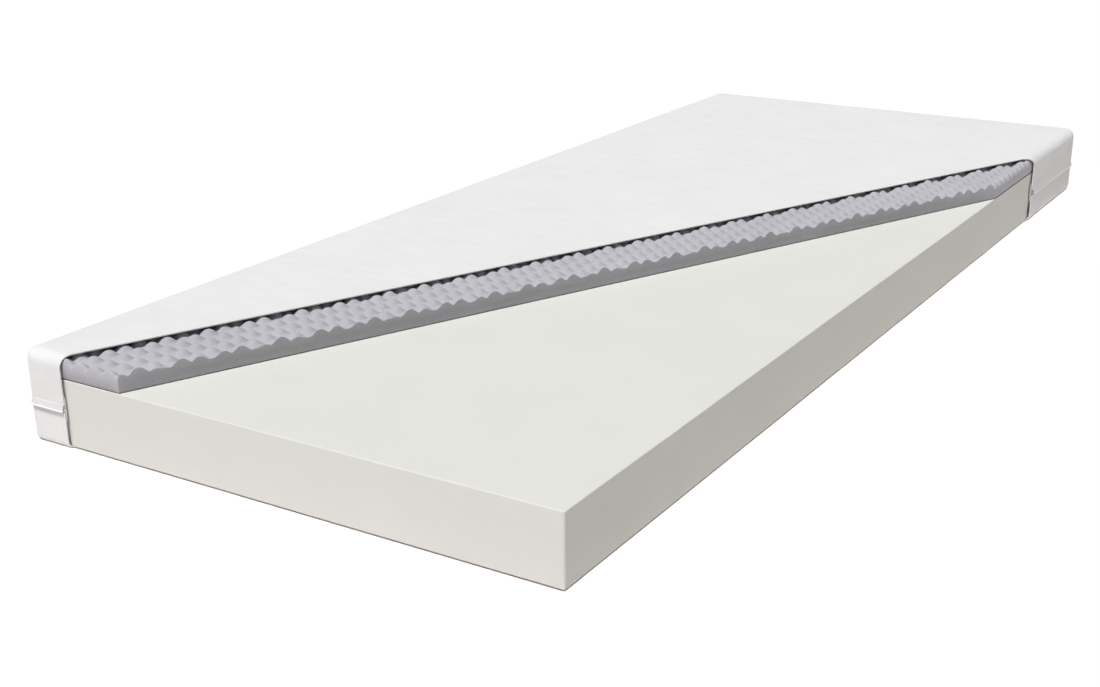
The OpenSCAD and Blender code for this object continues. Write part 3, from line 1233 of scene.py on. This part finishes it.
    def build_tape(self, side: Side) -> bpy.types.Object:
        """Makes one half of the zip's tape.

        Args:
            side: The half.

        Returns:
            The piece.
        """
        m = self.m
        s = side.value
        z0 = m.zip_z + s * self.tape_gap
        z1 = z0 + s * self.tape_w
        u0, u1 = m.u_knit - self.tape_t, m.u_knit
        bm = self.band([(u1, z0), (u1, z1), (u0, z1), (u0, z0)], 4 * self.grid)
        close_ends(bm)
        word = side.name.lower()
        piece = finish_mesh(bm, f"{word}_zip_tape", self.finishes.tape, smooth=False)
        length = self.cloth_area(piece) / self.tape_w
        body = "base" if side is Side.LOWER else "upper_cover"
        return self.declare(piece, [f"zip_tape_{word}"], body)

    def build_coil(self, side: Side, run: Run) -> bpy.types.Object:
        """Makes one run of a coil, with a ridge for each of its turns.

        Args:
            side: The half of the zip.
            run: The run.

        Returns:
            The piece.
        """
        m, bm = self.m, bmesh.new()
        s = side.value
        z0 = m.zip_z + s * self.coil_slit / 2
        z1 = z0 + s * self.coil_w
        u0, u1 = m.u_knit + self.coil_lift, m.u_knit + self.coil_t
        soft = self.coil_round
        fine = Sweeper(m, max(2, round(math.pi / 2 * (m.arc_r + u1) / (self.coil_pitch / 2))))
        first = fine.ring(bm, u0, z0)
        turn = bm.verts.layers.int.new("turn")
        self._number_turns(bm, first, turn)
        rings = [(u0, z0), (u1 - 0.8 * soft, z0), (u1, z0 + s * soft),
                 (u1, z1 - s * soft), (u1 - soft, z1), (u0, z1)]
        fine.skin(bm, rings, closed=True, edges=list(bm.edges))
        slice_at(bm, m.cut_point, m.cut_normal, cut=True)
        self.keep_run(bm, run, m.park_gap)
        for v in bm.verts:
            if v[turn] % 2 and m.u_at(v.co) > u0 + 0.2 * MM:
                v.co -= m.outwards(v.co) * self.coil_ridge
        close_ends(bm)
        word = side.name.lower()
        piece = finish_mesh(bm, f"{word}_coil_{run.value}", self.finishes.coil, smooth=False)
        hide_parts(f"zip_coil_{word}_{run.value}")
        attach(piece, "base" if side is Side.LOWER else "upper_cover")
        return piece

    def _number_turns(self, bm: bmesh.types.BMesh, ring: list[bmesh.types.BMEdge],
                      layer: bmesh.types.BMLayerItem) -> None:
        """Divides the long edges of a ring, and numbers its vertices in order.

        Args:
            bm: The mesh, which holds the ring alone.
            ring: The ring's edges.
            layer: The layer that takes the numbers.
        """
        half = self.coil_pitch / 2
        for edge in [e for e in ring if e.calc_length() > 4 * self.coil_pitch]:
            bmesh.ops.subdivide_edges(bm, edges=[edge], cuts=round(edge.calc_length() / half) - 1)
        start = next(iter(bm.verts))
        before, here, number = None, start, 0
        while True:
            here[layer] = number
            number += 1
            after = [e.other_vert(here) for e in here.link_edges if e.other_vert(here) != before]
            before, here = here, after[0]
            if here == start:
                break

    def build_label(self) -> bpy.types.Object:
        """Makes the blank care label, sewn in under the flap and curled away at its end.

        Returns:
            The piece.
        """
        m, bm = self.m, bmesh.new()
        low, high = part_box("care_label")
        width, drop = high.y - low.y, high.z - low.z
        turn = Matrix.Rotation(math.radians(90), 4, "Y")
        size = Matrix.Diagonal((1, width / 2, drop / 2, 1))
        middle = Matrix.Translation((0, (low.y + high.y) / 2, (low.z + high.z) / 2))
        bmesh.ops.create_grid(bm, x_segments=14, y_segments=16, size=1,
                              matrix=middle @ size @ turn)
        for v in bm.verts:
            down = (high.z - v.co.z) / drop
            curl = self.label_curl * down**2.2
            wave = self.label_wave * math.sin((v.co.y - low.y) / width * 5) * down
            v.co.x = low.x - self.label_off - curl - wave
        piece = finish_mesh(bm, "sewn_care_label", self.finishes.label)
        add_modifier(piece, "SOLIDIFY", thickness=self.label_t, offset=0.0)
        return self.declare(piece, ["care_label"], "base")

    def dress_hardware(self) -> None:
        """Gives the carried-over zip pieces and threads their finishes, and the glue a dark one
        that is partly painted shade.
        """
        f = self.finishes
        for names, material in (
            (("slider_body", "slider_pin", "pull_tab", "zip_stop_lower", "zip_stop_upper"),
             f.metal),
            (("seam_thread_lower", "seam_thread_upper"), f.thread),
            (("adhesive_film",), f.glue),
        ):
            for name in names:
                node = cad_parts[name]
                node.data.materials.clear()
                node.data.materials.append(material)

    def build(self) -> list[bpy.types.Object]:
        """Makes the whole cover.

        Returns:
            Its new pieces.
        """
        made = self.build_trays()
        made += [self.build_flap(run) for run in Run]
        made += [self.build_hem_thread(run) for run in Run]
        made += [self.build_tape(side) for side in Side]
        made += [self.build_coil(side, run) for side in Side for run in Run]
        made.append(self.build_label())
        self.dress_hardware()
        return made


# ---------------------------------------------------------------------- studio


@dataclass(frozen=True)
class Studio:
    """The floor, the soft light and the camera."""

    camera_place: tuple[float, float, float] = (1.1464, -2.2232, 0.7899)
    azimuth: float = 31.93
    elevation: float = 19.73
    roll: float = -0.46
    lens: float = 50.85
    key_strength: float = 3.6
    key_direction: tuple[float, float, float] = (0.0, -0.375, 0.927)
    key_spread: float = 15.0
    floor_strength: float = 5.3
    floor_direction: tuple[float, float, float] = (0.30, -0.489, 0.819)
    floor_spread: float = 20.0
    floor_reach: float = 30.0
    backdrop_r: float = 29.0
    backdrop_sides: int = 64
    fill: float = 0.12
    floor_tone: tuple[float, float, float] = (0.72, 0.688, 0.682)

    def build(self) -> None:
        """Makes the stage."""
        self._camera()
        floor = self._floor()
        self._sun("key", self.key_strength, self.key_direction, self.key_spread, floor, "EXCLUDE")
        self._sun("floor_key", self.floor_strength, self.floor_direction, self.floor_spread,
                  floor, "INCLUDE")
        self._fill()
        self._backdrop()

    def _camera(self) -> None:
        """Makes the camera."""
        data = bpy.data.cameras.new("camera")
        data.lens = self.lens
        data.sensor_width = 36
        data.clip_end = 60
        camera = bpy.data.objects.new("camera", data)
        turn = (Matrix.Rotation(math.radians(self.azimuth), 4, "Z")
                @ Matrix.Rotation(math.radians(90 - self.elevation), 4, "X")
                @ Matrix.Rotation(math.radians(self.roll), 4, "Z"))
        camera.matrix_world = Matrix.Translation(self.camera_place) @ turn
        bpy.context.scene.collection.objects.link(camera)
        bpy.context.scene.camera = camera

    def _sun(self, name: str, strength: float, direction: tuple[float, float, float],
             spread: float, floor: bpy.types.Object, state: str) -> None:
        """Makes a broad distant light.

        Args:
            name: The light's name.
            strength: Its strength.
            direction: The direction towards it.
            spread: How broad it looks, in degrees.
            floor: The floor.
            state: EXCLUDE to light all but the floor, INCLUDE to light the floor alone.
        """
        light = bpy.data.lights.new(name, "SUN")
        light.energy = strength
        light.angle = math.radians(spread)
        lamp = bpy.data.objects.new(name, light)
        lamp.rotation_mode = "QUATERNION"
        lamp.rotation_quaternion = Vector(direction).to_track_quat("Z", "Y")
        bpy.context.scene.collection.objects.link(lamp)
        lit = bpy.data.collections.new(f"{name}_receivers")
        lit.objects.link(floor)
        lit.collection_objects[0].light_linking.link_state = state
        lamp.light_linking.receiver_collection = lit

    def _fill(self) -> None:
        """Makes the even light from all around."""
        world = bpy.data.worlds.new("fill")
        world.use_nodes = True
        background = world.node_tree.nodes["Background"]
        background.inputs["Color"].default_value = (1, 1, 1, 1)
        background.inputs["Strength"].default_value = self.fill
        bpy.context.scene.world = world
        bpy.context.scene.view_settings.view_transform = "Standard"

    def _floor(self) -> bpy.types.Object:
        """Makes the floor.

        Returns:
            The floor.
        """
        bm = bmesh.new()
        bmesh.ops.create_grid(bm, x_segments=1, y_segments=1, size=self.floor_reach)
        g = Graph("pale_floor")
        g.surface(Base_Color=self.floor_tone, Roughness=0.9, Specular_IOR_Level=0.0)
        floor = finish_mesh(bm, "floor", g.material)
        return floor

    def _backdrop(self) -> None:
        """Makes the plain white backdrop all round, which gives no light of its own."""
        bm = bmesh.new()
        bmesh.ops.create_cone(bm, cap_ends=False, segments=self.backdrop_sides,
                              radius1=self.backdrop_r, radius2=self.backdrop_r,
                              depth=2 * self.backdrop_r)
        g = Graph("white_backdrop")
        g.surface(Base_Color=(0.0, 0.0, 0.0), Roughness=1.0, Specular_IOR_Level=0.0,
                  Emission_Color=(1.0, 1.0, 1.0), Emission_Strength=1.0)
        backdrop = finish_mesh(bm, "backdrop", g.material)
        backdrop.visible_diffuse = False
        backdrop.visible_glossy = False
        backdrop.visible_shadow = False


def main() -> None:
    """Builds the mattress and the stage."""
    logging.basicConfig(level=logging.INFO, format="%(name)s: %(message)s")
    Studio().build()
    measures = Measures.read()
    finishes = Finishes.make()
    pieces = [FoamCore(measures, finishes).build(), MemoryFoam(measures, finishes).build()]
    pieces += Cover(measures, finishes, Sweeper(measures)).build()
    bpy.context.view_layer.update()
    for piece in pieces:
        LOG.info("%s: %d faces", piece.name, len(piece.data.polygons))


if __name__ == "__main__":
    main()
